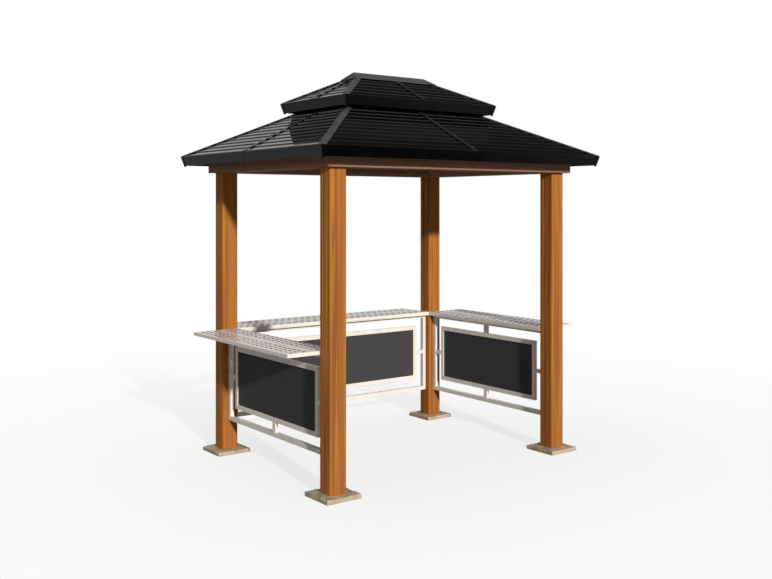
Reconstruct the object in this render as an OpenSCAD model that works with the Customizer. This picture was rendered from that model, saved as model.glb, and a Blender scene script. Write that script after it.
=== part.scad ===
// Open garden gazebo with a two-tier hip roof, serving counters on three sides
// and an open front. Millimetres, +Z up, front towards -Y, standing on z = 0.

/* [Posts] */
// Distance between the centres of the left and right posts
span_x = 1895; // [1500:5:2600]
// Distance between the centres of the front and back posts
span_y = 1380; // [1100:5:2000]
// Width of each square post
post_w = 120; // [90:1:150]
// Radius of the long corners of a post
post_r = 12; // [4:1:20]
// Width of the two grooves down each post face
groove_w = 8; // [3:1:12]
// Depth of the post grooves
groove_d = 3; // [1:0.5:6]
// Width of the square stone slab under each post
slab_w = 254; // [200:1:400]
// Thickness of the stone slabs
slab_t = 28; // [15:1:60]

/* [Beams] */
// Height from the ground to the underside of the beams
head_h = 1997; // [1800:1:2400]
// Height of the beams
beam_h = 152; // [125:1:175]
// How far the beams stand out past the post faces, on both sides
beam_lap = 36; // [15:1:60]

/* [Counters and panels] */
// Height of the counter tops above the ground
counter_z = 882; // [800:1:1000]
// How far a counter reaches out past the centres of the posts
counter_out = 285; // [200:1:350]
// Thickness of the counter sheet
counter_t = 3; // [2:0.5:4]
// Depth of the folded lip on the outer edge and the ends of a counter
lip_h = 23; // [18:1:30]
// Depth of the folded lip on the inner edge of a counter
inner_lip_h = 28; // [24:1:44]
// Width of the channels that stiffen a counter from below
channel_w = 30; // [15:1:60]
// Width of the square tube of the top rails and end uprights
tube_w = 28; // [20:1:40]
// Width of the square tube of the lower rails
rail_w = 30; // [20:1:40]
// Height of the underside of the lower rails above the ground
rail_z = 234; // [120:1:300]
// Width of the short blocks that hold a panel at its top and foot
block_w = 35; // [20:1:60]
// Gap between the posts and the sides of a framed panel
panel_gap = 95; // [60:1:140]
// Height of the top of a framed panel above the ground
panel_top = 768; // [600:1:790]
// Height of the foot of a framed panel above the ground
panel_foot = 330; // [300:1:400]
// Width of the bars of a panel frame
bar_w = 31; // [15:1:45]
// Depth of a panel frame from front to back
bar_d = 22; // [14:1:28]
// Thickness of the panel sheets
panel_t = 6; // [3:0.5:8]

/* [Roof] */
// Rise of every roof slope for each 100 of level run
pitch = 50; // [44:1:60]
// How far the lower eaves stand out past the centres of the posts
eave_out = 244; // [200:1:300]
// Height of the fascia
fascia_h = 65; // [58:1:80]
// How far the fascia leans in at its foot
fascia_lean = 18; // [0:1:26]
// Thickness of the fascia
fascia_t = 5; // [3:0.5:8]
// Height of the roof sheets from the underside to the nose of a lap
sheet_h = 10; // [8:0.5:14]
// Height of the step at each lap of the roof sheets
lap_h = 6; // [3:0.5:7]
// Level distance from one lap to the next, before it is made even
lap_run = 54; // [40:1:90]
// Thickness of the hip caps, seam strips and corner covers
cap_t = 3; // [2:0.5:4]
// Width of the hip caps
hip_w = 50; // [36:1:70]
// Width of the strips over the seams between sheets
seam_w = 34; // [24:1:60]
// Reach of the covers on the fascia corners
corner_w = 36; // [24:1:60]
// How far the corner covers hang below the fascia
corner_drop = 8; // [2:1:14]

/* [Roof frame] */
// Width of the rafters
rafter_w = 36; // [24:1:50]
// Height of the rafters, measured plumb
rafter_h = 48; // [38:1:50]
// Depth of the seats in the lower rafters where they cross the beams
rafter_notch = 17; // [8:1:26]
// Level distance from the lower eave to the frame round the vent
vent_in = 602; // [585:1:650]
// Width of the bars round the vent
vent_w = 46; // [44:1:60]
// Height of the bars round the vent
vent_h = 50; // [40:1:60]
// Width of the square stubs that carry the upper roof
stub_w = 30; // [20:1:32]

/* [Upper roof] */
// Level distance from the lower eave to the upper eave
tier_in = 523; // [480:1:540]
// Height of the upper eave edge above the lower eave edge
tier_rise = 371; // [350:1:400]
// Width of the ridge cap
ridge_cap_w = 202; // [180:1:240]
// Level length of each sloping end of the ridge cap
ridge_cap_end = 43; // [20:1:45]
// Thickness of the ridge cap
ridge_cap_t = 4; // [3:0.5:6]

/* [Hidden] */
seat = 0.3;           // room left between slanting faces that bear on each other
joint = 1.5;          // open joint between two lengths of sheet or fascia
hip_gap = 2;          // room on each side of a hip, under its cap
over = 5;             // run of a cutting shape past what it cuts
deep = 200;           // height of the roof bodies below their eaves
sheet_lap = 12;       // bearing of the lower sheets on the vent frame
groove_play = 0.3;    // room round a panel sheet in its frame
panel_in = 8;         // depth of a panel sheet in its frame
ridge_board_w = 30;
ridge_board_h = 60;
ridge_board_end = 30; // run of the ridge board past the ridge itself

rise = pitch / 100;
post_h = head_h - slab_t;
bay_x = span_x - post_w;
bay_y = span_y - post_w;
beam_w = post_w + 2 * beam_lap;
beam_top = head_h + beam_h;
beam_x = span_x / 2 + beam_w / 2;
beam_y = span_y / 2 + beam_w / 2;

// A tier of the roof: half length in X and in Y, height of the eave edge,
// level run from the eave to the head of its sheets. The seats of the lower
// rafters on the beams set how high the lower eave is.
eave_z = beam_top - rafter_notch + rafter_h + sheet_h - (eave_out - beam_w / 2) * rise;
eave_x = span_x / 2 + eave_out;
eave_y = span_y / 2 + eave_out;
top_x = eave_x - tier_in;
top_y = eave_y - tier_in;
top_z = eave_z + tier_rise;
LOWER = [eave_x, eave_y, eave_z, vent_in + sheet_lap];
UPPER = [top_x, top_y, top_z, top_y];
ridge_x = top_x - top_y;
ridge_cap_x = ridge_x + ridge_cap_w / 2;

fascia_in = cap_t + seat;
sheet_in = fascia_in + fascia_t + seat + fascia_lean * sheet_h / fascia_h;
rafter_lift = -sheet_h - seat;
// Level distance from the eave to the square ends of the hip rafters, which
// just touch the corner of the fascia, and of the hip caps
tail_in = fascia_in + fascia_t + 2 * seat + fascia_lean * (sheet_h + rafter_h) / fascia_h;
blunt_in = cap_t + 3;
vent_x = eave_x - vent_in;
vent_y = eave_y - vent_in;
stub_in = vent_in + vent_w - stub_w / 2;
vent_top = eave_z + (vent_in + sheet_lap) * rise + rafter_lift;

// The origin is under the middle of the whole outline
back_reach = max(eave_y, span_y / 2 + counter_out);
centre_y = -(back_reach - eave_y) / 2;

WOOD = "#a8642f";
DARK_WOOD = "#5a3826";
STONE = "#b8a68c";
POWDER = "#b3aa98";
PANEL = "#2a2b2e";
ROOF = "#1d1e20";
TRIM = "#3a3c3f";

// Places its children in the frame of one side: the side faces -Y there.
// 0 is the front, 90 the right, 180 the back and 270 the left.
module on_side(turn) {
  translate([0, centre_y, 0]) rotate([0, 0, turn]) children();
}

function is_long(turn) = turn % 180 == 0;
// Half length and reach of a side whose half sizes are x and y
function half_of(turn, x, y) = is_long(turn) ? x : y;
function reach_of(turn, x, y) = is_long(turn) ? y : x;

// --- Posts and slabs ---

module at_post(side_x, side_y) {
  translate([side_x * span_x / 2, centre_y + side_y * span_y / 2, 0]) children();
}

module slab(side_x, side_y) {
  color(STONE) at_post(side_x, side_y)
    translate([-slab_w / 2, -slab_w / 2, 0]) cube([slab_w, slab_w, slab_t]);
}

module post_outline() {
  flat = post_w - 2 * post_r;
  difference() {
    union() {
      square([post_w, flat], center = true);
      square([flat, post_w], center = true);
      for (x = [-1, 1], y = [-1, 1])
        translate([x * flat / 2, y * flat / 2]) circle(r = post_r, $fn = 32);
    }
    for (turn = [0 : 90 : 270], x = [-1, 1])
      rotate(turn) translate([x * post_w / 6, -post_w / 2])
        polygon([[-groove_w / 2, -1], [groove_w / 2, -1], [groove_w / 2, 0],
                 [0, groove_d], [-groove_w / 2, 0]]);
  }
}

module post(side_x, side_y) {
  color(WOOD) at_post(side_x, side_y)
    translate([0, 0, slab_t]) linear_extrude(post_h) post_outline();
}

// --- Beams, mitred at the corners ---

module beam(turn) {
  half = half_of(turn, beam_x, beam_y) - seat;
  reach = reach_of(turn, beam_x, beam_y);
  color(DARK_WOOD) on_side(turn)
    translate([0, 0, head_h]) linear_extrude(beam_h)
      polygon([[-half, -reach], [half, -reach],
               [half - beam_w, -reach + beam_w], [-half + beam_w, -reach + beam_w]]);
}

// --- Counters, rails and panels in the three closed bays ---

module in_bay(turn) {
  on_side(turn) translate([0, -reach_of(turn, span_x, span_y) / 2, 0]) children();
}

function bay_of(turn) = half_of(turn, bay_x, bay_y);

// A folded pan with its open side down, flush with the inner faces of the posts
module counter(turn) {
  long = bay_of(turn);
  depth = counter_out + post_w / 2;
  color(POWDER) in_bay(turn) translate([-long / 2, -counter_out, counter_z]) {
    difference() {
      translate([0, 0, -lip_h]) cube([long, depth, lip_h]);
      translate([counter_t, counter_t, -lip_h - over])
        cube([long - 2 * counter_t, depth - 2 * counter_t, lip_h + over - counter_t]);
    }
    translate([0, depth - counter_t, -inner_lip_h])
      cube([long, counter_t, inner_lip_h]);
    for (x = [1, 2] * long / 3)
      translate([x - channel_w / 2, counter_t / 2, -lip_h])
        cube([channel_w, depth - counter_t, lip_h - counter_t / 2]);
  }
}

// Square tubes welded into one frame, with the blocks that hold the panel
module rail_frame(turn) {
  long = bay_of(turn);
  head = counter_z - lip_h;
  side = long / 2 - panel_gap;
  middle = (panel_top + panel_foot) / 2;
  color(POWDER) in_bay(turn) {
    translate([-long / 2, -tube_w / 2, head - tube_w]) cube([long, tube_w, tube_w]);
    translate([-long / 2, -rail_w / 2, rail_z]) cube([long, rail_w, rail_w]);
    for (end = [-1, 1]) {
      translate([end * (long - tube_w) / 2 - tube_w / 2, -tube_w / 2, rail_z])
        cube([tube_w, tube_w, head - rail_z]);
      translate([end > 0 ? side : -long / 2, -bar_d / 2, middle - tube_w / 2])
        cube([panel_gap, bar_d, tube_w]);
    }
    translate([-block_w / 2, -bar_d / 2, panel_top])
      cube([block_w, bar_d, head - tube_w / 2 - panel_top]);
    translate([-block_w / 2, -bar_d / 2, rail_z + rail_w / 2])
      cube([block_w, bar_d, panel_foot - rail_z - rail_w / 2]);
  }
}

// A sheet that stands in the groove of its frame, larger by grow all round
module panel_sheet(turn, grow) {
  wide = bay_of(turn) - 2 * (panel_gap + bar_w - panel_in);
  tall = panel_top - panel_foot - 2 * (bar_w - panel_in);
  translate([-wide / 2 - grow, -panel_t / 2 - grow, panel_foot + bar_w - panel_in - grow])
    cube([wide + 2 * grow, panel_t + 2 * grow, tall + 2 * grow]);
}

module panel_frame(turn) {
  wide = bay_of(turn) - 2 * panel_gap;
  tall = panel_top - panel_foot;
  color(POWDER) in_bay(turn) difference() {
    translate([-wide / 2, -bar_d / 2, panel_foot]) cube([wide, bar_d, tall]);
    translate([-wide / 2 + bar_w, -bar_d / 2 - over, panel_foot + bar_w])
      cube([wide - 2 * bar_w, bar_d + 2 * over, tall - 2 * bar_w]);
    panel_sheet(turn, groove_play);
  }
}

module panel(turn) {
  color(PANEL) in_bay(turn) panel_sheet(turn, 0);
}

// --- Roof bodies ---
// Each roof member is what lies between two bodies like the space under the
// roof: their slopes are lifted or lowered, and their edges drawn in, so that
// everything in the roof keeps to the same four planes.

// Level distance from the eave at which the lifted slope meets the leaning edge
function edge_in(lift, edge) =
  (edge - fascia_lean * lift / fascia_h) / (1 + fascia_lean * rise / fascia_h);

function roof_outline(half, eave, lift, edge) =
  let (head = half - edge_in(lift, edge),
       foot = half - edge - fascia_lean * deep / fascia_h)
  [[-foot, eave - deep], [foot, eave - deep],
   [head, eave + lift + (half - head) * rise], [0, eave + lift + half * rise],
   [-head, eave + lift + (half - head) * rise]];

module roof_body(tier, lift, edge) {
  intersection() {
    rotate([90, 0, 90]) translate([0, 0, -tier[0] - over])
      linear_extrude(2 * (tier[0] + over))
        polygon(roof_outline(tier[1], tier[2], lift, edge));
    rotate([90, 0, 0]) translate([0, 0, -tier[1] - over])
      linear_extrude(2 * (tier[1] + over))
        polygon(roof_outline(tier[0], tier[2], lift, edge));
  }
}

// The layer between two heights, as thick as their difference, with its lower
// edge drawn in from the eave
module roof_layer(tier, top, bottom, edge) {
  difference() {
    roof_body(tier, top, edge);
    roof_body(tier, bottom, -over);
  }
}

// Upright slabs of space along the four hips, between two level runs from the
// eave, square across the hip at both ends
module hip_strips(tier, wide, start, run) {
  for (x = [-1, 1], y = [-1, 1])
    translate([x * tier[0], y * tier[1], tier[2] - deep])
      rotate([0, 0, atan2(-y, -x)])
        translate([sqrt(2) * start, -wide / 2, 0])
          cube([sqrt(2) * (run - start), wide, 3 * deep]);
}

// Upright slabs of space up the middle of the long and the short slopes
module mid_strips(tier, wide, run, short = true) {
  for (y = [-1, 1])
    translate([-wide / 2, y > 0 ? tier[1] - run : -tier[1] - over, tier[2] - deep])
      cube([wide, run + over, 3 * deep]);
  if (short)
    for (x = [-1, 1])
      translate([x > 0 ? tier[0] - run : -tier[0] - over, -wide / 2, tier[2] - deep])
        cube([run + over, wide, 3 * deep]);
}

// Plan of one slope from the eave side up to a level run, between two hips.
// part is 0 for the whole slope, -1 or 1 for the half on that side.
module slope_plan(tier, turn, run, gap, part = 0) {
  half = half_of(turn, tier[0], tier[1]);
  reach = reach_of(turn, tier[0], tier[1]);
  low = half + over - gap;
  high = half - run - gap;
  left_low = part > 0 ? joint / 2 : -low;
  left_high = part > 0 ? joint / 2 : -high;
  right_low = part < 0 ? -joint / 2 : low;
  right_high = part < 0 ? -joint / 2 : high;
  polygon([[left_low, -reach - over], [right_low, -reach - over],
           [right_high, -reach + run], [left_high, -reach + run]]);
}

// --- Sheets, stepped at each lap ---

function lap_outline(reach, eave, run) =
  let (count = round((run - sheet_in) / lap_run), step = (run - sheet_in) / count)
  concat(
    [[run - reach, eave + run * rise - sheet_h],
     [sheet_in - reach, eave + sheet_in * rise - sheet_h]],
    [for (i = [0 : count - 1], up = [0, 1])
       let (s = sheet_in + (i + up) * step)
       [s - reach, eave + s * rise - up * lap_h]]);

module sheets(tier, turn) {
  half = half_of(turn, tier[0], tier[1]);
  reach = reach_of(turn, tier[0], tier[1]);
  run = tier[3] < reach - over && tier[3] < half - over ? tier[3] : tier[3] - 2 * over;
  for (part = [-1, 1]) intersection() {
    rotate([90, 0, 90]) translate([0, 0, -half]) linear_extrude(2 * half)
      polygon(lap_outline(reach, tier[2], run));
    translate([0, 0, tier[2] - deep]) linear_extrude(3 * deep)
      slope_plan(tier, turn, run, hip_gap, part);
  }
}

// --- Fascia and its corner covers ---

module fascia(tier, turn, split) {
  for (part = split ? [-1, 1] : [0]) intersection() {
    difference() {
      rotate([0, 0, -turn]) roof_body(tier, 0, fascia_in);
      rotate([0, 0, -turn]) roof_body(tier, over, fascia_in + fascia_t);
    }
    translate([0, 0, tier[2] - fascia_h]) linear_extrude(2 * fascia_h)
      slope_plan(tier, turn, 2 * over + fascia_lean + fascia_t, seat, part);
  }
}

module corner_cover(tier) {
  intersection() {
    difference() {
      roof_body(tier, 0, 0);
      roof_body(tier, over, cap_t);
    }
    for (x = [-1, 1], y = [-1, 1])
      translate([x * tier[0] - corner_w, y * tier[1] - corner_w,
                 tier[2] - fascia_h - corner_drop])
        cube([2 * corner_w, 2 * corner_w, fascia_h + corner_drop - seat]);
  }
}

// --- Rafters and the frame round the vent ---

module rafter_layer(tier) {
  roof_layer(tier, rafter_lift, rafter_lift - rafter_h, fascia_in + fascia_t + seat);
}

// What the lower rafters are cut back to: the beams below, the vent above
module lower_rafter_cuts() {
  translate([-beam_x - seat, -beam_y - seat, 0])
    cube([2 * (beam_x + seat), 2 * (beam_y + seat), beam_top + seat]);
  translate([-vent_x - seat, -vent_y - seat, 0])
    cube([2 * (vent_x + seat), 2 * (vent_y + seat), 2 * eave_z]);
}

module ridge_space(grow) {
  translate([-ridge_x - ridge_board_end - grow, -ridge_board_w / 2 - grow, top_z])
    cube([2 * (ridge_x + ridge_board_end + grow), ridge_board_w + 2 * grow, 2 * deep]);
}

module vent_bar(turn) {
  reach = reach_of(turn, eave_x, eave_y);
  half = half_of(turn, eave_x, eave_y);
  low = eave_z + vent_in * rise + rafter_lift;
  intersection() {
    rotate([90, 0, 90]) translate([0, 0, -half]) linear_extrude(2 * half)
      polygon([[vent_in - reach, low - vent_h], [vent_in + vent_w - reach, low - vent_h],
               [vent_in + vent_w - reach, vent_top],
               [vent_in + sheet_lap - reach, vent_top], [vent_in - reach, low]]);
    linear_extrude(2 * eave_z)
      slope_plan(LOWER, turn, vent_in + vent_w + over, seat / 2);
  }
}

module stub(x, y) {
  translate([x - stub_w / 2, y - stub_w / 2, vent_top]) cube([stub_w, stub_w, 2 * deep]);
}

// --- Named pieces ---

module hip_rafters() {
  color(TRIM) on_side(0) intersection() {
    difference() {
      rafter_layer(LOWER);
      lower_rafter_cuts();
    }
    hip_strips(LOWER, rafter_w, tail_in, LOWER[3]);
  }
}

module mid_rafters() {
  color(TRIM) on_side(0) intersection() {
    difference() {
      rafter_layer(LOWER);
      lower_rafter_cuts();
    }
    mid_strips(LOWER, rafter_w, LOWER[3]);
  }
}

module vent_frame() {
  color(TRIM) for (turn = [0 : 90 : 270]) on_side(turn) vent_bar(turn);
}

module vent_stubs() {
  color(TRIM) on_side(0) intersection() {
    roof_body(UPPER, rafter_lift - rafter_h - seat, 0);
    for (x = [-1, 0, 1], y = [-1, 1])
      stub(x * (eave_x - stub_in), y * (eave_y - stub_in));
  }
}

module upper_rafters() {
  color(TRIM) on_side(0) intersection() {
    difference() {
      rafter_layer(UPPER);
      ridge_space(seat);
    }
    union() {
      hip_strips(UPPER, rafter_w, tail_in, top_y);
      mid_strips(UPPER, rafter_w, top_y, short = false);
    }
  }
}

module ridge_board() {
  color(TRIM) on_side(0) intersection() {
    roof_body(UPPER, rafter_lift, 0);
    translate([0, 0, top_y * rise - ridge_board_h]) ridge_space(0);
  }
}

module cap_layer(tier) {
  roof_layer(tier, cap_t + seat, seat, cap_t);
}

module hip_caps() {
  color(TRIM) on_side(0) intersection() {
    cap_layer(LOWER);
    hip_strips(LOWER, hip_w, blunt_in, LOWER[3]);
  }
}

module seam_strips() {
  color(TRIM) on_side(0) intersection() {
    cap_layer(LOWER);
    mid_strips(LOWER, seam_w, LOWER[3]);
  }
}

module upper_hip_caps() {
  color(TRIM) on_side(0) intersection() {
    cap_layer(UPPER);
    hip_strips(UPPER, hip_w, blunt_in, top_y - hip_w);
  }
}

module upper_seam_strips() {
  color(TRIM) on_side(0) intersection() {
    cap_layer(UPPER);
    mid_strips(UPPER, seam_w, top_y - hip_w - seam_w);
  }
}

module corner_covers() {
  color(ROOF) on_side(0) {
    corner_cover(LOWER);
    corner_cover(UPPER);
  }
}

module lower_fascia(turn) {
  color(ROOF) on_side(turn) fascia(LOWER, turn, split = true);
}

module upper_fascia() {
  color(ROOF) for (turn = [0 : 90 : 270]) on_side(turn) fascia(UPPER, turn, split = false);
}

module lower_sheets(turn) {
  color(ROOF) on_side(turn) sheets(LOWER, turn);
}

module upper_sheets(turns) {
  color(ROOF) for (turn = turns) on_side(turn) sheets(UPPER, turn);
}

// A closed cap that follows the slopes on its long sides and drops at its ends
module ridge_cap() {
  lift = cap_t + 2 * seat;
  side = ridge_cap_w / 2;
  foot = top_z + (top_y - side) * rise + lift;
  crown = top_z + top_y * rise + lift + ridge_cap_t;
  color(TRIM) on_side(0) difference() {
    intersection() {
      rotate([90, 0, 90]) translate([0, 0, -top_x]) linear_extrude(2 * top_x)
        polygon([[-side, foot - over], [side, foot - over], [side, foot + ridge_cap_t],
                 [0, crown], [-side, foot + ridge_cap_t]]);
      rotate([90, 0, 0]) translate([0, 0, -top_y]) linear_extrude(2 * top_y)
        polygon([[-ridge_cap_x, foot - over], [ridge_cap_x, foot - over],
                 [ridge_cap_x, foot + ridge_cap_t], [ridge_cap_x - ridge_cap_end, crown],
                 [ridge_cap_end - ridge_cap_x, crown], [-ridge_cap_x, foot + ridge_cap_t]]);
    }
    roof_body(UPPER, lift, -over);
  }
}

slab(-1, -1);  // slab_front_left
slab(1, -1);  // slab_front_right
slab(-1, 1);  // slab_back_left
slab(1, 1);  // slab_back_right
post(-1, -1);  // post_front_left
post(1, -1);  // post_front_right
post(-1, 1);  // post_back_left
post(1, 1);  // post_back_right
beam(0);  // beam_front
beam(90);  // beam_right
beam(180);  // beam_back
beam(270);  // beam_left
counter(90);  // counter_right
counter(180);  // counter_back
counter(270);  // counter_left
rail_frame(90);  // rail_frame_right
rail_frame(180);  // rail_frame_back
rail_frame(270);  // rail_frame_left
panel_frame(90);  // panel_frame_right
panel_frame(180);  // panel_frame_back
panel_frame(270);  // panel_frame_left
panel(90);  // panel_right
panel(180);  // panel_back
panel(270);  // panel_left
hip_rafters();
mid_rafters();
vent_frame();
vent_stubs();
lower_fascia(0);  // fascia_front
lower_fascia(90);  // fascia_right
lower_fascia(180);  // fascia_back
lower_fascia(270);  // fascia_left
lower_sheets(0);  // sheets_front
lower_sheets(90);  // sheets_right
lower_sheets(180);  // sheets_back
lower_sheets(270);  // sheets_left
hip_caps();
seam_strips();
corner_covers();
upper_rafters();
ridge_board();
upper_fascia();
upper_sheets([0, 180]);  // upper_sheets_long
upper_sheets([90, 270]);  // upper_sheets_short
upper_hip_caps();
upper_seam_strips();
ridge_cap();
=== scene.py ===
import math
import bpy
import bmesh
from mathutils import Matrix, Vector, noise


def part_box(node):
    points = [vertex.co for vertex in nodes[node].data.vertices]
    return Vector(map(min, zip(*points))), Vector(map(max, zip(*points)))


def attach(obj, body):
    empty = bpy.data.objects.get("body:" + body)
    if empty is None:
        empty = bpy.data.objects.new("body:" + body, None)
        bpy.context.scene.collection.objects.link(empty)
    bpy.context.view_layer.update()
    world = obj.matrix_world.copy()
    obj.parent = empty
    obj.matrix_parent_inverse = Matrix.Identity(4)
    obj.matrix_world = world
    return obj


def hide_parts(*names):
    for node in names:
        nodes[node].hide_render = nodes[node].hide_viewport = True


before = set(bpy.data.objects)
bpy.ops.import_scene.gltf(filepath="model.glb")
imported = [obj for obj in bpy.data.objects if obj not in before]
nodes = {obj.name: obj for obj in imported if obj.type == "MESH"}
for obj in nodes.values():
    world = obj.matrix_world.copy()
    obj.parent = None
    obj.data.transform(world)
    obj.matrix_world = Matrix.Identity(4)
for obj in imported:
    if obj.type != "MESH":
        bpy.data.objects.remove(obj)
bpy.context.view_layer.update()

mm = 0.001
sides = {"front": 0, "right": 90, "back": 180, "left": 270}


# Adds a node, sets its properties, and fills each input with a value or a link
def addNode(tree, kind, inputs=None, **settings):
    node = tree.nodes.new(kind)
    for key, value in settings.items():
        setattr(node, key, value)
    for key, value in (inputs or {}).items():
        if isinstance(value, bpy.types.NodeSocket):
            tree.links.new(value, node.inputs[key])
        else:
            node.inputs[key].default_value = value
    return node


def mathOf(tree, operation, a, b=0.0):
    return addNode(tree, "ShaderNodeMath", {0: a, 1: b}, operation=operation).outputs[0]


# Middle of the posts in plan, and the matrix that turns a side's own frame, where the
# side faces -Y, to its place
middle = (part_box("beam_front")[0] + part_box("beam_back")[1]) / 2
middle.z = 0


def sidePlace(side):
    return Matrix.Translation(middle) @ Matrix.Rotation(math.radians(sides[side]), 4, "Z")


# A CAD node's box in the frame of its side
def sideBox(node, side):
    inverse = sidePlace(side).inverted()
    a, b = (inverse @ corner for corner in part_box(node))
    return Vector(map(min, a, b)), Vector(map(max, a, b))


def newObject(name, data, material=None):
    made = bpy.data.objects.new(name, data)
    bpy.context.scene.collection.objects.link(made)
    if material:
        data.materials.clear()
        data.materials.append(material)
    return made


def meshFromBmesh(name, bm):
    mesh = bpy.data.meshes.new(name)
    bm.to_mesh(mesh)
    bm.free()
    return mesh


# Leaves a piece riding on the one body, in place of the CAD nodes it stands for
def finishPiece(piece, slot, *replaced):
    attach(piece, "root")
    if replaced:
        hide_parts(*replaced)


# Edges that bend by more than the sharp angle are rounded. A face counts as narrow under that
# share of the widest face.
rounding = {"weld": 0.01 * mm, "level": math.radians(0.3), "curved": 0.01, "sharp": math.radians(28),
            "narrow": 0.2}


# Rounds the sharp edges of a mesh. Wide flats stay flat; the rounding, and the narrow
# facets of curved faces, are shaded smooth.
def roundEdges(bm, width, segments):
    widest = max(face.calc_area() for face in bm.faces)
    for face in bm.faces:
        bends = [e.calc_face_angle(0) for e in face.edges]
        curved = any(rounding["curved"] < bend < rounding["sharp"] for bend in bends)
        face.smooth = curved and face.calc_area() < rounding["narrow"] * widest
    edges = [e for e in bm.edges if e.is_manifold and e.calc_face_angle() > rounding["sharp"]]
    made = bmesh.ops.bevel(bm, geom=edges, offset=width, segments=segments, affect="EDGES",
                           profile=0.5, clamp_overlap=True)
    for face in made["faces"]:
        face.smooth = True


# A welded copy of a CAD node with its sharp edges rounded
def roundedCopy(node, material, slot, width, segments=2):
    bm = bmesh.new()
    bm.from_mesh(nodes[node].data)
    bmesh.ops.remove_doubles(bm, verts=bm.verts, dist=rounding["weld"])
    bmesh.ops.dissolve_limit(bm, angle_limit=rounding["level"], verts=bm.verts, edges=bm.edges)
    roundEdges(bm, width, segments)
    finishPiece(newObject(node + "_finished", meshFromBmesh(node, bm), material), slot, node)


def newMaterial(name):
    material = bpy.data.materials.new(name)
    material.use_nodes = True
    tree = material.node_tree
    tree.nodes.clear()
    shader = addNode(tree, "ShaderNodeBsdfPrincipled")
    addNode(tree, "ShaderNodeOutputMaterial", {"Surface": shader.outputs[0]})
    coords = addNode(tree, "ShaderNodeTexCoord").outputs["Object"]
    return material, tree, shader, coords


def stretched(tree, coords, scale):
    return addNode(tree, "ShaderNodeMapping", {"Vector": coords, "Scale": scale}).outputs[0]


def noiseOf(tree, vector, scale, detail=3.0, roughness=0.5, distortion=0.0):
    values = {"Vector": vector, "Scale": scale, "Detail": detail, "Roughness": roughness,
              "Distortion": distortion}
    return addNode(tree, "ShaderNodeTexNoise", values).outputs[0]


def rampOf(tree, factor, stops):
    ramp = addNode(tree, "ShaderNodeValToRGB", {0: factor})
    elements = ramp.color_ramp.elements
    while len(elements) < len(stops):
        elements.new(0.5)
    for element, (place, colour) in zip(elements, stops):
        element.position = place
        element.color = (*colour, 1)
    return ramp.outputs[0]


def mixColour(tree, factor, a, b, blend="MIX"):
    node = addNode(tree, "ShaderNodeMix", data_type="RGBA", blend_type=blend)
    for socket, value in ((node.inputs[0], factor), (node.inputs[6], a), (node.inputs[7], b)):
        if isinstance(value, bpy.types.NodeSocket):
            tree.links.new(value, socket)
        else:
            socket.default_value = (*value, 1) if isinstance(value, tuple) else value
    return node.outputs[2]


# Turns start to end of a value into low to high, and holds it there beyond
def rangeOf(tree, value, low, high, start=0.0, end=1.0):
    values = {"Value": value, 1: start, 2: end, 3: low, 4: high}
    return addNode(tree, "ShaderNodeMapRange", values).outputs[0]


def addBump(tree, shader, height, distance):
    bump = addNode(tree, "ShaderNodeBump", {"Height": height, "Distance": distance, "Strength": 1.0})
    tree.links.new(bump.outputs[0], shader.inputs["Normal"])


# Timber whose grain runs along one axis: broad staves of colour, fine lines and pores
def makeWood(name, look, axis):
    material, tree, shader, coords = newMaterial(name)
    along = [1.0, 1.0, 1.0]
    along[axis] = look["stretch"]
    vector = stretched(tree, coords, along)
    staves = noiseOf(tree, vector, look["staveScale"], detail=1.5, roughness=0.45, distortion=0.2)
    colour = rampOf(tree, staves, look["staves"])
    lines = noiseOf(tree, vector, look["lineScale"], detail=4, roughness=0.6, distortion=0.8)
    lined = rangeOf(tree, lines, 0.0, look["lineDepth"], start=0.45, end=0.75)
    colour = mixColour(tree, lined, colour, look["lineColour"], "MULTIPLY")
    pores = noiseOf(tree, vector, look["poreScale"], detail=2, roughness=0.7)
    pored = rangeOf(tree, pores, 0.0, look["poreDepth"], start=0.58, end=0.72)
    colour = mixColour(tree, pored, colour, look["poreColour"])
    wander = noiseOf(tree, vector, look["weatherScale"], detail=2)
    worn = rangeOf(tree, wander, 0.0, look["weatherDepth"], start=0.5, end=0.8)
    colour = mixColour(tree, worn, colour, look["weathered"])
    tree.links.new(colour, shader.inputs["Base Color"])
    smoothest, roughest = look["roughness"]
    dullness = rangeOf(tree, lines, smoothest, roughest, start=0.3, end=0.7)
    tree.links.new(dullness, shader.inputs["Roughness"])
    shader.inputs["Specular IOR Level"].default_value = look["specular"]
    raised = mathOf(tree, "MULTIPLY", lines, look["lineHeight"])
    sunk = mathOf(tree, "MULTIPLY", pores, look["poreHeight"])
    addBump(tree, shader, mathOf(tree, "ADD", raised, sunk), look["relief"])
    return material


unevenGloss = (0.8, 1.3)  # least and most of a coating's roughness over its surface


# Coated steel: fine orange peel, faint dust in the colour, uneven gloss
def makeCoating(name, look):
    material, tree, shader, coords = newMaterial(name)
    broad = noiseOf(tree, coords, look["broadScale"], detail=3, roughness=0.6)
    dust = rangeOf(tree, broad, 0.0, 1.0, start=0.35, end=0.7)
    colour = mixColour(tree, dust, look["colour"], look["dusty"])
    speckle = noiseOf(tree, coords, look["speckleScale"], detail=2, roughness=0.7)
    specks = rangeOf(tree, speckle, 0.0, look["speckle"], start=0.5, end=0.75)
    colour = mixColour(tree, specks, colour, look["speckleColour"])
    tree.links.new(colour, shader.inputs["Base Color"])
    smoothest, roughest = (share * look["roughness"] for share in unevenGloss)
    dullness = rangeOf(tree, broad, smoothest, roughest, start=0.3, end=0.7)
    tree.links.new(dullness, shader.inputs["Roughness"])
    shader.inputs["Specular IOR Level"].default_value = look["specular"]
    peel = noiseOf(tree, coords, look["peelScale"], detail=2)
    addBump(tree, shader, peel, look["relief"])
    return material


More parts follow.
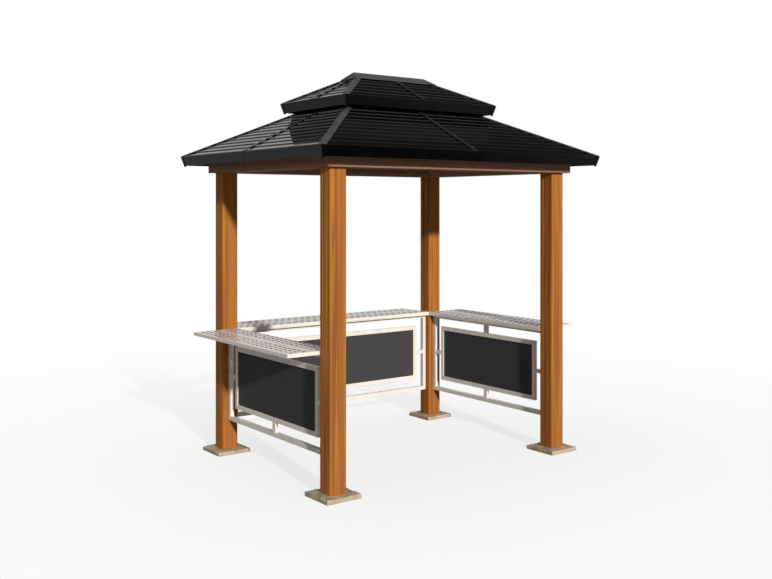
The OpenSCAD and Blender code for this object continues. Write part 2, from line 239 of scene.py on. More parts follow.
# Riven sandstone: warm patches, dark grit, pale veins, open grain
def makeStone(name, look):
    material, tree, shader, coords = newMaterial(name)
    patches = noiseOf(tree, coords, look["patchScale"], detail=5, roughness=0.6, distortion=0.4)
    colour = rampOf(tree, patches, look["patches"])
    layered = stretched(tree, coords, (1, 1, look["bedStretch"]))
    beds = noiseOf(tree, layered, look["bedScale"], detail=4, roughness=0.65, distortion=0.6)
    bedded = rangeOf(tree, beds, 0.0, look["bedDepth"], start=0.5, end=0.72)
    colour = mixColour(tree, bedded, colour, look["bedColour"])
    grit = noiseOf(tree, coords, look["gritScale"], detail=3, roughness=0.7)
    gritty = rangeOf(tree, grit, 0.0, look["gritDepth"], start=0.56, end=0.7)
    colour = mixColour(tree, gritty, colour, look["gritColour"])
    tree.links.new(colour, shader.inputs["Base Color"])
    smoothest, roughest = look["roughness"]
    dullness = rangeOf(tree, grit, roughest, smoothest, start=0.3, end=0.7)
    tree.links.new(dullness, shader.inputs["Roughness"])
    shader.inputs["Specular IOR Level"].default_value = look["specular"]
    height = mathOf(tree, "ADD", beds, mathOf(tree, "MULTIPLY", grit, look["gritHeight"]))
    addBump(tree, shader, height, look["relief"])
    return material


print("materials")
postLook = {
    "stretch": 0.010, "staveScale": 40, "lineScale": 240, "lineDepth": 0.4, "poreScale": 900,
    "poreDepth": 0.3, "weatherScale": 9, "weatherDepth": 0.35, "roughness": (0.54, 0.7),
    "specular": 0.12, "lineHeight": 0.6, "poreHeight": -0.4, "relief": 0.5 * mm,
    "staves": [(0.33, (0.30, 0.088, 0.030)), (0.41, (0.41, 0.185, 0.026)), (0.46, (0.31, 0.093, 0.035)),
               (0.50, (0.50, 0.155, 0.030)), (0.54, (0.49, 0.220, 0.026)), (0.59, (0.33, 0.095, 0.036)),
               (0.67, (0.55, 0.205, 0.032))],
    "lineColour": (0.62, 0.45, 0.33), "poreColour": (0.16, 0.06, 0.02), "weathered": (0.30, 0.16, 0.055)}
beamLook = {
    "stretch": 0.02, "staveScale": 16, "lineScale": 190, "lineDepth": 0.5, "poreScale": 800,
    "poreDepth": 0.35, "weatherScale": 9, "weatherDepth": 0.35, "roughness": (0.56, 0.72),
    "specular": 0.15, "lineHeight": 0.6, "poreHeight": -0.4, "relief": 0.4 * mm,
    "staves": [(0.35, (0.26, 0.13, 0.076)), (0.50, (0.32, 0.168, 0.10)), (0.65, (0.37, 0.205, 0.128))],
    "lineColour": (0.6, 0.5, 0.45), "poreColour": (0.09, 0.05, 0.035), "weathered": (0.25, 0.165, 0.12)}
stoneLook = {
    "patches": [(0.30, (0.34, 0.25, 0.165)), (0.48, (0.50, 0.385, 0.27)), (0.62, (0.58, 0.48, 0.365)),
                (0.76, (0.42, 0.31, 0.215))],
    "patchScale": 14, "bedScale": 22, "bedStretch": 9, "bedDepth": 0.7, "bedColour": (0.64, 0.56, 0.455),
    "gritScale": 420, "gritDepth": 0.8, "gritHeight": 0.35, "gritColour": (0.17, 0.12, 0.08),
    "roughness": (0.78, 0.95), "specular": 0.2, "relief": 2.5 * mm}
powderLook = {
    "colour": (0.83, 0.785, 0.705), "dusty": (0.87, 0.83, 0.76), "speckle": 0.22,
    "speckleColour": (0.52, 0.48, 0.42), "broadScale": 5, "speckleScale": 700, "peelScale": 900,
    "roughness": 0.27, "specular": 0.7, "relief": 0.04 * mm}
panelLook = {
    "colour": (0.055, 0.0535, 0.057), "dusty": (0.059, 0.057, 0.062), "speckle": 0.2,
    "speckleColour": (0.08, 0.08, 0.085), "broadScale": 3, "speckleScale": 1100, "peelScale": 1200,
    "roughness": 0.55, "specular": 0.12, "relief": 0.04 * mm}
roofLook = {
    "colour": (0.0012, 0.0012, 0.0013), "dusty": (0.0026, 0.0026, 0.0027), "speckle": 0.2,
    "speckleColour": (0.007, 0.007, 0.007), "broadScale": 6, "speckleScale": 900, "peelScale": 1000,
    "roughness": 0.05, "specular": 0.4, "relief": 0.002 * mm}
trimLook = {
    "colour": (0.046, 0.047, 0.048), "dusty": (0.063, 0.063, 0.064), "speckle": 0.25,
    "speckleColour": (0.11, 0.11, 0.11), "broadScale": 8, "speckleScale": 900, "peelScale": 1000,
    "roughness": 0.34, "specular": 0.4, "relief": 0.04 * mm}
frameLook = {
    "colour": (0.02, 0.02, 0.021), "dusty": (0.034, 0.033, 0.032), "speckle": 0.3,
    "speckleColour": (0.05, 0.05, 0.05), "broadScale": 7, "speckleScale": 700, "peelScale": 900,
    "roughness": 0.55, "specular": 0.3, "relief": 0.1 * mm}
seamLook = {
    "colour": (0.014, 0.014, 0.0145), "dusty": (0.022, 0.022, 0.0225), "speckle": 0.25,
    "speckleColour": (0.04, 0.04, 0.04), "broadScale": 8, "speckleScale": 900, "peelScale": 1000,
    "roughness": 0.2, "specular": 0.4, "relief": 0.01 * mm}
# Painted shade: the dark rings in the slots take this near-black colour in place of the shade inside the
# openings
slotShadeLook = {
    "colour": (0.02, 0.017, 0.014), "dusty": (0.03, 0.026, 0.022), "speckle": 0.4,
    "speckleColour": (0.012, 0.011, 0.01), "broadScale": 40, "speckleScale": 900, "peelScale": 900,
    "roughness": 0.75, "specular": 0.1, "relief": 0.05 * mm}
boltLook = {
    "colour": (0.02, 0.02, 0.02), "dusty": (0.05, 0.048, 0.045), "speckle": 0.4,
    "speckleColour": (0.1, 0.095, 0.09), "broadScale": 60, "speckleScale": 900, "peelScale": 800,
    "roughness": 0.4, "specular": 0.5, "relief": 0.05 * mm}
# Painted shade: near-black and without gloss, for the gap at the fascia joints
gapLook = {
    "colour": (0.0015, 0.0015, 0.0015), "dusty": (0.003, 0.003, 0.003), "speckle": 0.3,
    "speckleColour": (0.006, 0.006, 0.006), "broadScale": 40, "speckleScale": 900, "peelScale": 900,
    "roughness": 0.8, "specular": 0.0, "relief": 0.02 * mm}
postWood = makeWood("postWood", postLook, 2)
beamWoodX = makeWood("beamWoodX", beamLook, 0)
beamWoodY = makeWood("beamWoodY", beamLook, 1)
stone = makeStone("rivenStone", stoneLook)
powderCoat = makeCoating("powderCoat", powderLook)
darkPanel = makeCoating("darkPanel", panelLook)
roofMetal = makeCoating("roofMetal", roofLook)
roofTrim = makeCoating("roofTrim", trimLook)
roofSeam = makeCoating("roofSeam", seamLook)
gapShade = makeCoating("gapShade", gapLook)
slotShade = makeCoating("slotShade", slotShadeLook)
frameSteel = makeCoating("frameSteel", frameLook)
boltSteel = makeCoating("boltSteel", boltLook)


# inputs is a list of (name, socket type)
def newTree(name, inputs):
    tree = bpy.data.node_groups.new(name, "GeometryNodeTree")
    for label, kind in inputs:
        tree.interface.new_socket(label, in_out="INPUT", socket_type="NodeSocket" + kind)
    tree.interface.new_socket("Geometry", in_out="OUTPUT", socket_type="NodeSocketGeometry")
    return tree, addNode(tree, "NodeGroupInput").outputs


# Ends a tree: instances are made real, and the chosen faces take the material
def endTree(tree, geometry, material, chosen=True):
    realized = addNode(tree, "GeometryNodeRealizeInstances", {0: geometry}).outputs[0]
    values = {"Geometry": realized, "Selection": chosen, "Material": material}
    addNode(tree, "NodeGroupOutput", {0: addNode(tree, "GeometryNodeSetMaterial", values).outputs[0]})


def compareOf(tree, operation, a, b):
    return addNode(tree, "FunctionNodeCompare", {0: a, 1: b}, data_type="FLOAT",
                   operation=operation).outputs[0]


def asGeometry(tree, objectSocket):
    return addNode(tree, "GeometryNodeObjectInfo", {"Object": objectSocket}).outputs["Geometry"]


# Runs a tree on a mesh with the given inputs, and returns the result as a plain mesh
def runTree(tree, values, mesh=None):
    carrier = newObject("carrier", mesh or bpy.data.meshes.new("carrier"))
    modifier = carrier.modifiers.new("tree", "NODES")
    modifier.node_group = tree
    for item in tree.interface.items_tree:
        if item.in_out == "INPUT" and item.name in values:
            modifier[item.identifier] = values[item.name]
    bpy.context.view_layer.update()
    graph = bpy.context.evaluated_depsgraph_get()
    result = bpy.data.meshes.new_from_object(carrier.evaluated_get(graph))
    bpy.data.objects.remove(carrier)
    return result


# Joins meshes that use the same list of materials
def joinMeshes(name, meshes, materials):
    bm = bmesh.new()
    for mesh in meshes:
        places = [materials.index(m) if m else 0 for m in mesh.materials] or [0]
        first = len(bm.faces)
        bm.from_mesh(mesh)
        bm.faces.ensure_lookup_table()
        for face in bm.faces[first:]:
            face.material_index = places[min(face.material_index, len(places) - 1)]
    joined = meshFromBmesh(name, bm)
    for material in materials:
        joined.materials.append(material)
    return joined


print("stone slabs")
slabShape = {"cells": 44, "layers": 5, "chip": 9 * mm, "chipReach": 12 * mm, "chipScale": 38,
             "chipSpread": 0.25, "topChips": 0.7, "riven": 2.6 * mm, "hewn": 4.5 * mm, "deepest": 0.6,
             "roughScale": 30, "roughDetail": (0.8, 2.1, 4), "calm": 70 * mm, "calmReach": 22 * mm,
             "variety": (3.1, 1.7, 1.0)}


# A slab from a grid with its sides drawn down, roughened by noise that differs by the seed
def makeSlab(node, seed):
    low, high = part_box(node)
    centre = (low + high) / 2
    size = high - low
    shape = slabShape
    shift = Vector([seed * step for step in shape["variety"]])
    bm = bmesh.new()
    bmesh.ops.create_grid(bm, x_segments=shape["cells"], y_segments=shape["cells"], size=0.5)
    top = list(bm.faces)
    walls = bmesh.ops.extrude_face_region(bm, geom=top)
    moved = [item for item in walls["geom"] if isinstance(item, bmesh.types.BMVert)]
    bmesh.ops.translate(bm, verts=moved, vec=(0, 0, 1))
    bmesh.ops.delete(bm, geom=[f for f in top if f.is_valid], context="FACES_ONLY")
    upright = [e for e in bm.edges if abs(e.verts[0].co.z - e.verts[1].co.z) > 0.5]
    bmesh.ops.subdivide_edges(bm, edges=upright, cuts=shape["layers"])
    rim = [e for e in bm.edges if e.is_boundary]
    bmesh.ops.contextual_create(bm, geom=rim)
    bmesh.ops.recalc_face_normals(bm, faces=bm.faces)
    for vert in bm.verts:
        place = Vector((vert.co.x * size.x, vert.co.y * size.y, vert.co.z * size.z))
        probe = place + shift
        toEdge = Vector((size.x / 2 - abs(place.x), size.y / 2 - abs(place.y)))
        nearest = min(toEdge.x, toEdge.y)
        below = size.z - place.z
        rough = noise.fractal(probe * shape["roughScale"], *shape["roughDetail"]) * 0.5 + 0.5
        chips = max(0.0, noise.noise(probe * shape["chipScale"]) + shape["chipSpread"]) * shape["chip"]
        if vert.co.z > 0.999:  # riven top, calm where the post stands
            fromPost = max(abs(place.x), abs(place.y)) - shape["calm"]
            calm = min(1.0, max(0.0, fromPost / shape["calmReach"]))
            nearEdge = math.exp(-nearest / shape["chipReach"])
            drop = calm * (shape["riven"] * rough + nearEdge * chips * shape["topChips"])
            place.z -= min(drop, size.z * shape["deepest"])
        bite = shape["hewn"] * rough + chips * math.exp(-below / shape["chipReach"])
        for axis in (0, 1):
            if toEdge[axis] < 1e-6:  # a point on this side
                place[axis] -= math.copysign(bite, place[axis])
        vert.co = place + Vector((centre.x, centre.y, low.z))
    for face in bm.faces:
        face.smooth = True
    finishPiece(newObject(node + "_riven", meshFromBmesh(node, bm), stone), "stone", node)


corners = ("front_left", "front_right", "back_left", "back_right")
for index, corner in enumerate(corners):
    makeSlab("slab_" + corner, index + 1)


print("posts and beams")
timberEdges = {"post": 1.2 * mm, "beam": 3 * mm}
for corner in corners:
    roundedCopy("post_" + corner, postWood, "post_wood", timberEdges["post"])
for side in sides:
    wood = beamWoodX if side in ("front", "back") else beamWoodY
    roundedCopy("beam_" + side, wood, "beam_wood", timberEdges["beam"], 3)


print("rails and panels")
railEdges = {"rail": 2 * mm, "frame": 1.5 * mm, "panel": 0.5 * mm}
closedSides = ("left", "right", "back")
for side in closedSides:
    roundedCopy("rail_frame_" + side, powderCoat, "powder_coat", railEdges["rail"])
    roundedCopy("panel_frame_" + side, powderCoat, "powder_coat", railEdges["frame"])
    roundedCopy("panel_" + side, darkPanel, "dark_panel", railEdges["panel"], 1)


print("slotted counters")
counterShape = {
    "slotLength": 38 * mm, "slotWidth": 20 * mm, "slotPitch": 58 * mm, "rowPitch": 46 * mm, "rows": 7,
    "plainRow": 3, "firstRow": 45 * mm, "endMargin": 34 * mm, "arcSteps": 5, "cutDepth": 6 * mm,
    "cutAbove": 3 * mm, "shadeLinerDepth": 8 * mm, "shadeLinerWall": 0.6 * mm, "shadeLinerTop": 0.3 * mm,
    "shadeLinerSink": 0.02 * mm, "sheet": 1.5 * mm, "fold": 2.5 * mm, "lip": 23 * mm, "innerLip": 28 * mm,
    "lipJoin": 1 * mm, "channel": 30 * mm, "channelWall": 2 * mm, "channelShares": (1 / 3, 2 / 3)}


# Outline of a slot with round ends, grown by a margin
def slotOutline(grow=0.0):
    shape = counterShape
    radius = shape["slotWidth"] / 2 + grow
    reach = shape["slotLength"] / 2 - shape["slotWidth"] / 2
    points = []
    for end in (1, -1):
        for step in range(shape["arcSteps"] + 1):
            angle = math.pi * (step / shape["arcSteps"] - 0.5)
            points.append((end * (reach + radius * math.cos(angle)), end * radius * math.sin(angle)))
    return points


# The cutter that opens a slot, as a closed prism
def makeCutter():
    shape = counterShape
    bm = bmesh.new()
    lower = [bm.verts.new((x, y, -shape["cutDepth"])) for x, y in slotOutline()]
    face = bm.faces.new(lower)
    wall = bmesh.ops.extrude_face_region(bm, geom=[face])
    raised = [item for item in wall["geom"] if isinstance(item, bmesh.types.BMVert)]
    bmesh.ops.translate(bm, verts=raised, vec=(0, 0, shape["cutDepth"] + shape["cutAbove"]))
    bmesh.ops.recalc_face_normals(bm, faces=bm.faces)
    return newObject("slotCutter", meshFromBmesh("slotCutter", bm))


# The dark wall inside a slot, a closed ring that lines it, in painted shade: its near-black colour stands
# in for the shade inside the slot
def makeShadeLiner():
    shape = counterShape
    bm = bmesh.new()
    loops = []
    inner, outer = -shape["shadeLinerWall"], shape["shadeLinerSink"]
    top, foot = -shape["shadeLinerTop"], -shape["shadeLinerDepth"]
    for grow, z in ((inner, top), (inner, foot), (outer, foot), (outer, top)):
        loops.append([bm.verts.new((x, y, z)) for x, y in slotOutline(grow)])
    for a, b in zip(loops, loops[1:] + loops[:1]):
        for i in range(len(a)):
            j = (i + 1) % len(a)
            bm.faces.new((a[i], a[j], b[j], b[i]))
    bmesh.ops.recalc_face_normals(bm, faces=bm.faces)
    return newObject("slotLiner", meshFromBmesh("slotLiner", bm), slotShade)


# Rows of slots: a grid of points, every other row moved half a pitch, one row left plain.
# Cutters on the points open the pan, and shade liners, rings in painted shade, stand in the openings.
def makeSlotTree():
    tree, inputs = newTree("slottedCounter", [
        ("Pan", "Geometry"), ("Cutter", "Object"), ("Liner", "Object"), ("Slots in Row", "Int"),
        ("Rows", "Int"), ("Plain Row", "Int"), ("Slot Pitch", "Float"), ("Row Pitch", "Float"),
        ("Middle", "Vector"), ("Limit", "Float"), ("Material", "Material"), ("Liner Material", "Material")])
    slotGaps = mathOf(tree, "SUBTRACT", inputs["Slots in Row"], 1)
    rowGaps = mathOf(tree, "SUBTRACT", inputs["Rows"], 1)
    spanX = mathOf(tree, "MULTIPLY", inputs["Slot Pitch"], slotGaps)
    spanY = mathOf(tree, "MULTIPLY", inputs["Row Pitch"], rowGaps)
    grid = addNode(tree, "GeometryNodeMeshGrid", {"Size X": spanX, "Size Y": spanY,
                   "Vertices X": inputs["Slots in Row"], "Vertices Y": inputs["Rows"]}).outputs[0]
    position = addNode(tree, "GeometryNodeInputPosition").outputs[0]
    place = addNode(tree, "ShaderNodeSeparateXYZ", {0: position}).outputs
    fromFirst = mathOf(tree, "ADD", place[1], mathOf(tree, "MULTIPLY", spanY, 0.5))
    row = mathOf(tree, "ROUND", mathOf(tree, "DIVIDE", fromFirst, inputs["Row Pitch"]))
    plain = compareOf(tree, "EQUAL", row, inputs["Plain Row"])
    kept = addNode(tree, "GeometryNodeDeleteGeometry", {0: grid, 1: plain}).outputs[0]
    oddRow = mathOf(tree, "SUBTRACT", mathOf(tree, "MODULO", row, 2), 0.5)
    halfPitch = mathOf(tree, "MULTIPLY", inputs["Slot Pitch"], 0.5)
    along = mathOf(tree, "MULTIPLY", oddRow, halfPitch)
    shift = addNode(tree, "ShaderNodeCombineXYZ", {0: along}).outputs[0]
    moved = addNode(tree, "GeometryNodeSetPosition", {0: kept, "Offset": shift}).outputs[0]
    beyond = compareOf(tree, "GREATER_THAN", mathOf(tree, "ABSOLUTE", place[0]), inputs["Limit"])
    trimmed = addNode(tree, "GeometryNodeDeleteGeometry", {0: moved, 1: beyond}).outputs[0]
    points = addNode(tree, "GeometryNodeSetPosition", {0: trimmed, "Offset": inputs["Middle"]}).outputs[0]
    placed = []
    for name in ("Cutter", "Liner"):
        values = {"Points": points, "Instance": asGeometry(tree, inputs[name])}
        placed.append(addNode(tree, "GeometryNodeInstanceOnPoints", values).outputs[0])
    cutters = addNode(tree, "GeometryNodeRealizeInstances", {0: placed[0]}).outputs[0]
    opened = addNode(tree, "GeometryNodeMeshBoolean", {0: inputs["Pan"], 1: cutters},
                     operation="DIFFERENCE", solver="MANIFOLD").outputs[0]
    joined = addNode(tree, "GeometryNodeJoinGeometry")
    tree.links.new(placed[1], joined.inputs[0])
    tree.links.new(opened, joined.inputs[0])
    # The rings of painted shade keep their dark material; all other faces take the coating
    paintedShade = addNode(tree, "GeometryNodeMaterialSelection", {0: inputs["Liner Material"]}).outputs[0]
    rest = addNode(tree, "FunctionNodeBooleanMath", {0: paintedShade}, operation="NOT").outputs[0]
    endTree(tree, joined.outputs[0], inputs["Material"], rest)
    return tree


# The folded pan, open below, as one closed shell with rounded folds
def makePan(low, high):
    shape = counterShape
    wall = shape["sheet"]
    foot = high.z - shape["lip"]
    bm = bmesh.new()
    rings = []
    for inset, z in ((0, high.z), (0, foot), (wall, foot), (wall, high.z - wall)):
        left, right = low.x + inset, high.x - inset
        front, rear = low.y + inset, high.y - inset
        outline = ((left, front), (right, front), (right, rear), (left, rear))
        rings.append([bm.verts.new((x, y, z)) for x, y in outline])
    for a, b in zip(rings, rings[1:]):
        for i in range(4):
            j = (i + 1) % 4
            bm.faces.new((a[i], a[j], b[j], b[i]))
    bm.faces.new(rings[0])
    bm.faces.new(rings[-1])
    bmesh.ops.recalc_face_normals(bm, faces=bm.faces)
    outside = rings[0] + rings[1]
    folds = []
    for edge in bm.edges:
        onTop = all(vert in rings[0] for vert in edge.verts)
        upright = abs(edge.verts[0].co.z - edge.verts[1].co.z) > wall
        if onTop or upright and all(vert in outside for vert in edge.verts):
            folds.append(edge)
    bmesh.ops.bevel(bm, geom=folds, offset=shape["fold"], segments=3, affect="EDGES", profile=0.5)
    return meshFromBmesh("pan", bm)


def addBox(bm, low, high):
    made = bmesh.ops.create_cube(bm, size=1)["verts"]
    for vert in made:
        vert.co = Vector((a + (b - a) * (c + 0.5) for a, b, c in zip(low, high, vert.co)))


# The deeper inner lip and the channels that stiffen the pan
def makeStiffeners(low, high):
    shape = counterShape
    wall = shape["channelWall"]
    front, rear = low.y + shape["sheet"], high.y - shape["sheet"]
    foot, under = high.z - shape["lip"], high.z - shape["sheet"]
    bm = bmesh.new()
    addBox(bm, (low.x, rear, high.z - shape["innerLip"]), (high.x, high.y, foot + shape["lipJoin"]))
    for share in shape["channelShares"]:
        left = low.x + (high.x - low.x) * share - shape["channel"] / 2
        right = left + shape["channel"]
        for edge in (left, right - wall):
            addBox(bm, (edge, front, foot), (edge + wall, rear, under))
        addBox(bm, (left, front, foot), (right, rear, foot + wall))
    return meshFromBmesh("stiffeners", bm)


slotTree = makeSlotTree()
cutter = makeCutter()
# The ring of painted shade that stands in each slot
shadeLiner = makeShadeLiner()


def makeCounter(side):
    shape = counterShape
    low, high = sideBox("counter_" + side, side)
    room = high.x - low.x - 2 * shape["endMargin"]
    count = int(room / shape["slotPitch"]) + 2  # with spare slots, which the limit trims
    rowMiddle = low.y + shape["firstRow"] + shape["rowPitch"] * (shape["rows"] - 1) / 2
    slotted = runTree(slotTree, {
        "Cutter": cutter, "Liner": shadeLiner, "Slots in Row": count, "Rows": shape["rows"],
        "Plain Row": shape["plainRow"], "Slot Pitch": shape["slotPitch"], "Row Pitch": shape["rowPitch"],
        "Middle": ((low.x + high.x) / 2, rowMiddle, high.z), "Material": powderCoat,
        "Liner Material": slotShade, "Limit": room / 2}, makePan(low, high))
    mesh = joinMeshes("counter_" + side, [slotted, makeStiffeners(low, high)], [powderCoat, slotShade])
    mesh.transform(sidePlace(side))
    print("   ", side, len(mesh.polygons), "faces")
    finishPiece(newObject("counter_" + side + "_slotted", mesh), "powder_coat", "counter_" + side)


for side in closedSides:
    makeCounter(side)
bpy.data.objects.remove(cutter)
bpy.data.objects.remove(shadeLiner)


print("roof")
roofEdges = {"sheet": 0.5 * mm, "fascia": 1.2 * mm, "cap": 0.9 * mm, "frame": 2 * mm, "ridge": 3 * mm}
for node in ["sheets_" + side for side in sides] + ["upper_sheets_long", "upper_sheets_short"]:
    roundedCopy(node, roofMetal, "roof_metal", roofEdges["sheet"])
for node in ["fascia_" + side for side in sides] + ["upper_fascia"]:
    roundedCopy(node, roofMetal, "roof_metal", roofEdges["fascia"])
roundedCopy("corner_covers", roofMetal, "roof_metal", roofEdges["cap"])
for node in ("hip_caps", "upper_hip_caps"):
    roundedCopy(node, roofTrim, "roof_trim", roofEdges["cap"])
for node in ("seam_strips", "upper_seam_strips"):
    roundedCopy(node, roofSeam, "roof_trim", roofEdges["cap"])
roundedCopy("ridge_cap", roofTrim, "roof_trim", roofEdges["ridge"], 3)
for node in ("hip_rafters", "mid_rafters", "vent_frame", "vent_stubs", "upper_rafters", "ridge_board"):
    roundedCopy(node, frameSteel, "roof_frame", roofEdges["frame"])

fasciaJoint = {"width": 3 * mm, "proud": 0.3 * mm, "depth": 1 * mm, "topInset": 3 * mm,
               "footInset": 1 * mm, "lean": 18 * mm, "slant": 14 * mm}


# The slanted line where the two lengths of a side's fascia meet, a matte black strip of painted shade for
# the gap between them
def makeFasciaJoint(side):
    shape = fasciaJoint
    low, high = sideBox("fascia_" + side, side)
    centre = (low.x + high.x) / 2
    bm = bmesh.new()
    addBox(bm, (centre - shape["width"] / 2, low.y - shape["proud"], low.z + shape["footInset"]),
           (centre + shape["width"] / 2, low.y + shape["depth"], high.z - shape["topInset"]))
    for vert in bm.verts:
        drop = (high.z - vert.co.z) / (high.z - low.z)
        vert.co.y += shape["lean"] * drop
        vert.co.x -= shape["slant"] * drop
    mesh = meshFromBmesh("fascia_joint_" + side, bm)
    mesh.transform(sidePlace(side))
    finishPiece(newObject("fascia_joint_" + side, mesh, gapShade), "roof_metal")


for side in sides:
    makeFasciaJoint(side)


print("screws")
screwShape = {"head": 4.5 * mm, "washer": 7 * mm, "headHeight": 2.8 * mm, "washerHeight": 1.2 * mm,
              "sunk": 0.5 * mm, "sides": 16}


# A low domed head on a washer, turned from its profile
def makeScrew():
    shape = screwShape
    bm = bmesh.new()
    profile = [(shape["washer"], -shape["sunk"]), (shape["washer"], shape["washerHeight"] * 0.6),
               (shape["washer"] * 0.93, shape["washerHeight"]), (shape["head"], shape["washerHeight"]),
               (shape["head"], shape["headHeight"] * 0.75), (shape["head"] * 0.75, shape["headHeight"]),
               (shape["head"] * 0.3, shape["headHeight"] * 1.05)]
    turns = [2 * math.pi * i / shape["sides"] for i in range(shape["sides"])]
    rings = []
    for radius, z in profile:
        rings.append([bm.verts.new((radius * math.cos(t), radius * math.sin(t), z)) for t in turns])
    for a, b in zip(rings, rings[1:]):
        for i in range(shape["sides"]):
            j = (i + 1) % shape["sides"]
            bm.faces.new((a[i], a[j], b[j], b[i]))
    bm.faces.new(rings[0])
    bm.faces.new(rings[-1])
    bmesh.ops.recalc_face_normals(bm, faces=bm.faces)
    return newObject("screwHead", meshFromBmesh("screwHead", bm))


# Screws at an even pitch along every edge of the base mesh, dropped along the aim onto the
# target and turned to stand square on it
def makeScrewTree():
    tree, inputs = newTree("screwRows", [
        ("Rows", "Geometry"), ("Target", "Object"), ("Screw", "Object"), ("Pitch", "Float"),
        ("Aim", "Vector"), ("Reach", "Float"), ("Material", "Material")])
    curves = addNode(tree, "GeometryNodeMeshToCurve", {0: inputs["Rows"]}).outputs[0]
    even = addNode(tree, "GeometryNodeResampleCurve", {"Curve": curves, "Length": inputs["Pitch"]},
                   mode="LENGTH").outputs[0]
    points = addNode(tree, "GeometryNodeCurveToPoints", {"Curve": even}, mode="EVALUATED").outputs[0]
    cast = addNode(tree, "GeometryNodeRaycast", {
        "Target Geometry": asGeometry(tree, inputs["Target"]), "Ray Direction": inputs["Aim"],
        "Ray Length": inputs["Reach"]}).outputs
    noted = addNode(tree, "GeometryNodeStoreNamedAttribute", {
        "Geometry": points, "Name": "square", "Value": cast["Hit Normal"]},
        data_type="FLOAT_VECTOR", domain="POINT").outputs[0]
    missed = addNode(tree, "FunctionNodeBooleanMath", {0: cast["Is Hit"]}, operation="NOT").outputs[0]
    kept = addNode(tree, "GeometryNodeDeleteGeometry", {0: noted, 1: missed}).outputs[0]
    moved = addNode(tree, "GeometryNodeSetPosition", {0: kept, "Position": cast["Hit Position"]}).outputs[0]
    square = addNode(tree, "GeometryNodeInputNamedAttribute", {"Name": "square"},
                     data_type="FLOAT_VECTOR").outputs[0]
    turned = addNode(tree, "FunctionNodeAlignRotationToVector", {"Vector": square}, axis="Z").outputs[0]
    placed = addNode(tree, "GeometryNodeInstanceOnPoints", {
        "Points": moved, "Instance": asGeometry(tree, inputs["Screw"]), "Rotation": turned}).outputs[0]
    endTree(tree, placed, inputs["Material"])
    return tree


# The rows run up both edges of the hip caps and of the strips over the seams. On the lower
# tier a row has a length of its own, and on the upper tier it ends at a distance from the middle.
screwRows = {
    "hip_caps": {"run": 0.48, "offset": 17 * mm},
    "seam_strips": {"run": 0.51, "offset": 11.5 * mm},
    "upper_hip_caps": {"fromMiddle": 0.07, "offset": 17 * mm},
    "upper_seam_strips": {"fromMiddle": 0.14, "offset": 11.5 * mm}}
rowLook = {"pitch": 0.16, "fromEave": 0.05, "above": 30 * mm, "reach": 0.4}


def makeRows(name, rows):
    mesh = bpy.data.meshes.new(name)
    points = [point for row in rows for point in row]
    mesh.from_pydata(points, [(i, i + 1) for i in range(0, len(points), 2)], [])
    return mesh


# Start and end of each row, as level lines over the caps. The hips run at 45 degrees in plan
# from the corners of a tier.
def rowsOver(node):
    rows = screwRows[node]
    low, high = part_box(node)
    half = (high - low) / 2
    over = Vector((low.x + half.x, low.y + half.y, high.z + rowLook["above"]))
    x, y = half.x - rowLook["fromEave"], half.y - rowLook["fromEave"]
    run = rows["run"] if "run" in rows else y - rows["fromMiddle"]
    lines = []
    for edge in (-rows["offset"], rows["offset"]):
        if "hip" in node:
            sideways = edge / math.sqrt(2)
            for sx, sy in ((-1, -1), (-1, 1), (1, -1), (1, 1)):
                shift = Vector((sideways, -sideways * sx * sy, 0))
                lines.append([shift + Vector((sx * (x - t), sy * (y - t), 0)) for t in (0, run)])
        else:
            for end in (-1, 1):
                lines.append([Vector((edge, end * (y - t), 0)) for t in (0, run)])
                lines.append([Vector((end * (x - t), edge, 0)) for t in (0, run)])
    return [[over + point for point in line] for line in lines]


screwTree = makeScrewTree()
screwHead = makeScrew()


def addScrews(node):
    values = {"Target": nodes[node], "Screw": screwHead, "Pitch": rowLook["pitch"], "Aim": (0, 0, -1),
              "Reach": rowLook["reach"], "Material": boltSteel}
    mesh = runTree(screwTree, values, makeRows(node, rowsOver(node)))
    print("   ", node, len(mesh.polygons) // len(screwHead.data.polygons), "screws")
    finishPiece(newObject("screws_" + node, mesh, boltSteel), "roof_frame")


for node in screwRows:
    addScrews(node)
bpy.data.objects.remove(screwHead)


print("camera and light")
viewLook = {"place": (-4.212, -5.6025, 1.776), "turn": -36.84, "lens": 45.2, "sensor": 36,
            "shiftY": -0.111}
lightLook = {"keyFrom": (-0.2, -1.0, 0.34), "key": 3.5, "keyAngle": 2.5, "keyColour": (1.0, 0.97, 0.92),
             "softFrom": (-0.4, 0.2, 6.5), "softTo": (0, 0, 1), "softSize": 4.0, "soft": 170,
             "fill": 0.22, "fillColour": (0.96, 0.98, 1.0),
             "sky": [(0.325, 0.01), (0.35, 0.2), (0.38, 0.36), (0.42, 0.25), (0.435, 0.05), (0.52, 0.08),
                     (0.545, 1.0), (0.60, 1.0), (0.63, 0.55), (0.69, 0.7), (0.70, 0.02)]}


def makeCamera():
    lens = bpy.data.cameras.new("camera")
    lens.lens = viewLook["lens"]
    lens.sensor_width = viewLook["sensor"]
    lens.shift_y = viewLook["shiftY"]
    camera = newObject("camera", lens)
    camera.location = viewLook["place"]
    camera.rotation_euler = (math.radians(90), 0, math.radians(viewLook["turn"]))
    bpy.context.scene.camera = camera


# A lamp turned so that it shines from a direction, and left out of reflections
def addLamp(lamp, source, place=(0, 0, 0)):
    lampObject = newObject(lamp.name, lamp)
    lampObject.location = place
    lampObject.rotation_euler = source.to_track_quat("Z", "Y").to_euler()
    lampObject.visible_glossy = False


def makeLamps():
    key = bpy.data.lights.new("key", "SUN")
    key.energy = lightLook["key"]
    key.angle = math.radians(lightLook["keyAngle"])
    key.color = lightLook["keyColour"]
    addLamp(key, Vector(lightLook["keyFrom"]))
    soft = bpy.data.lights.new("softBox", "AREA")
    soft.energy = lightLook["soft"]
    soft.size = lightLook["softSize"]
    place = Vector(lightLook["softFrom"])
    addLamp(soft, place - Vector(lightLook["softTo"]), place)


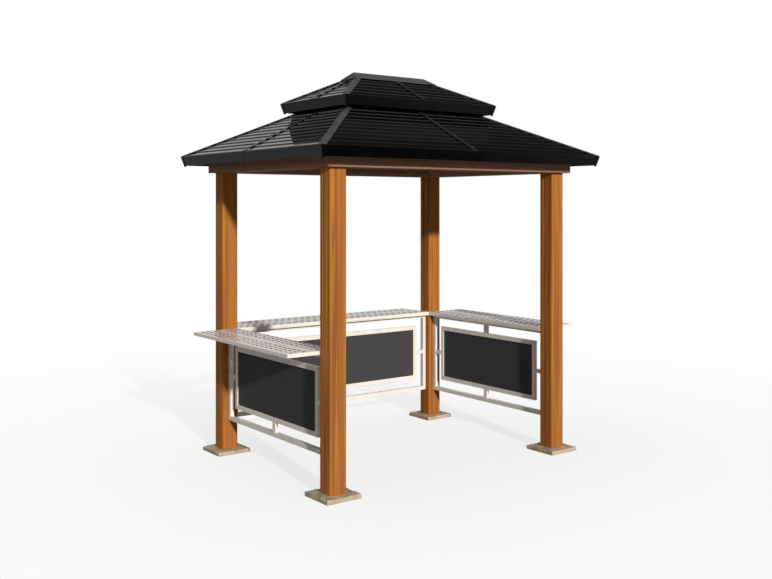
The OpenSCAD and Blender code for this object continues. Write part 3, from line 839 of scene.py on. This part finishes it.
# White to the camera, an even fill to the light, and bands of sky to glossy rays, which give
# the steps of the roof their stripes
def makeWorld():
    world = bpy.data.worlds.new("studio")
    bpy.context.scene.world = world
    world.use_nodes = True
    tree = world.node_tree
    tree.nodes.clear()
    path = addNode(tree, "ShaderNodeLightPath").outputs
    ray = addNode(tree, "ShaderNodeTexCoord").outputs["Generated"]
    up = addNode(tree, "ShaderNodeSeparateXYZ", {0: ray}).outputs[2]
    height = rangeOf(tree, up, 0.0, 1.0, start=-1.0)
    sky = rampOf(tree, height, [(stop, (grey, grey, grey)) for stop, grey in lightLook["sky"]])
    fill = addNode(tree, "ShaderNodeBackground", {0: (*lightLook["fillColour"], 1), 1: lightLook["fill"]})
    glossy = addNode(tree, "ShaderNodeBackground", {0: sky, 1: 1.0})
    white = addNode(tree, "ShaderNodeBackground", {0: (1, 1, 1, 1), 1: 1.0})
    unseen = addNode(tree, "ShaderNodeMixShader", {
        0: path["Is Glossy Ray"], 1: fill.outputs[0], 2: glossy.outputs[0]})
    seen = mathOf(tree, "MAXIMUM", path["Is Camera Ray"], path["Is Transmission Ray"])
    mixed = addNode(tree, "ShaderNodeMixShader", {0: seen, 1: unseen.outputs[0], 2: white.outputs[0]})
    addNode(tree, "ShaderNodeOutputWorld", {0: mixed.outputs[0]})


floorLook = {"size": 24.0, "under": 1 * mm, "colour": (0.36, 0.35, 0.34), "seen": (0.92, 0.92, 0.92),
             "near": 2.0, "far": 6.0, "shade": 0.24}


# A pale floor that takes the shadow near the object and fades into the white far off. It is
# darker to the light that it throws back than to the camera, and glossy rays pass through it.
def makeFloor():
    look = floorLook
    bm = bmesh.new()
    bmesh.ops.create_grid(bm, x_segments=1, y_segments=1, size=look["size"])
    bmesh.ops.translate(bm, verts=bm.verts, vec=(0, 0, -look["under"]))
    material = bpy.data.materials.new("paleFloor")
    material.use_nodes = True
    tree = material.node_tree
    tree.nodes.clear()
    coords = addNode(tree, "ShaderNodeTexCoord").outputs["Object"]
    distance = addNode(tree, "ShaderNodeVectorMath", {0: coords}, operation="LENGTH").outputs["Value"]
    fade = rangeOf(tree, distance, 1.0, 0.0, look["near"], look["far"])
    path = addNode(tree, "ShaderNodeLightPath").outputs
    toCamera = mathOf(tree, "MULTIPLY", fade, look["shade"])
    toLight = mathOf(tree, "SUBTRACT", 1.0, path["Is Glossy Ray"])
    weight = addNode(tree, "ShaderNodeMix", {0: path["Is Camera Ray"], 2: toLight, 3: toCamera},
                     data_type="FLOAT").outputs[0]
    colour = mixColour(tree, path["Is Camera Ray"], look["colour"], look["seen"])
    matte = addNode(tree, "ShaderNodeBsdfDiffuse", {0: colour}).outputs[0]
    clear = addNode(tree, "ShaderNodeBsdfTransparent").outputs[0]
    mixed = addNode(tree, "ShaderNodeMixShader", {0: weight, 1: clear, 2: matte}).outputs[0]
    addNode(tree, "ShaderNodeOutputMaterial", {0: mixed})
    newObject("floor", meshFromBmesh("floor", bm), material)


makeCamera()
makeLamps()
makeWorld()
makeFloor()
bpy.context.scene.view_settings.view_transform = "Standard"
bpy.context.view_layer.update()
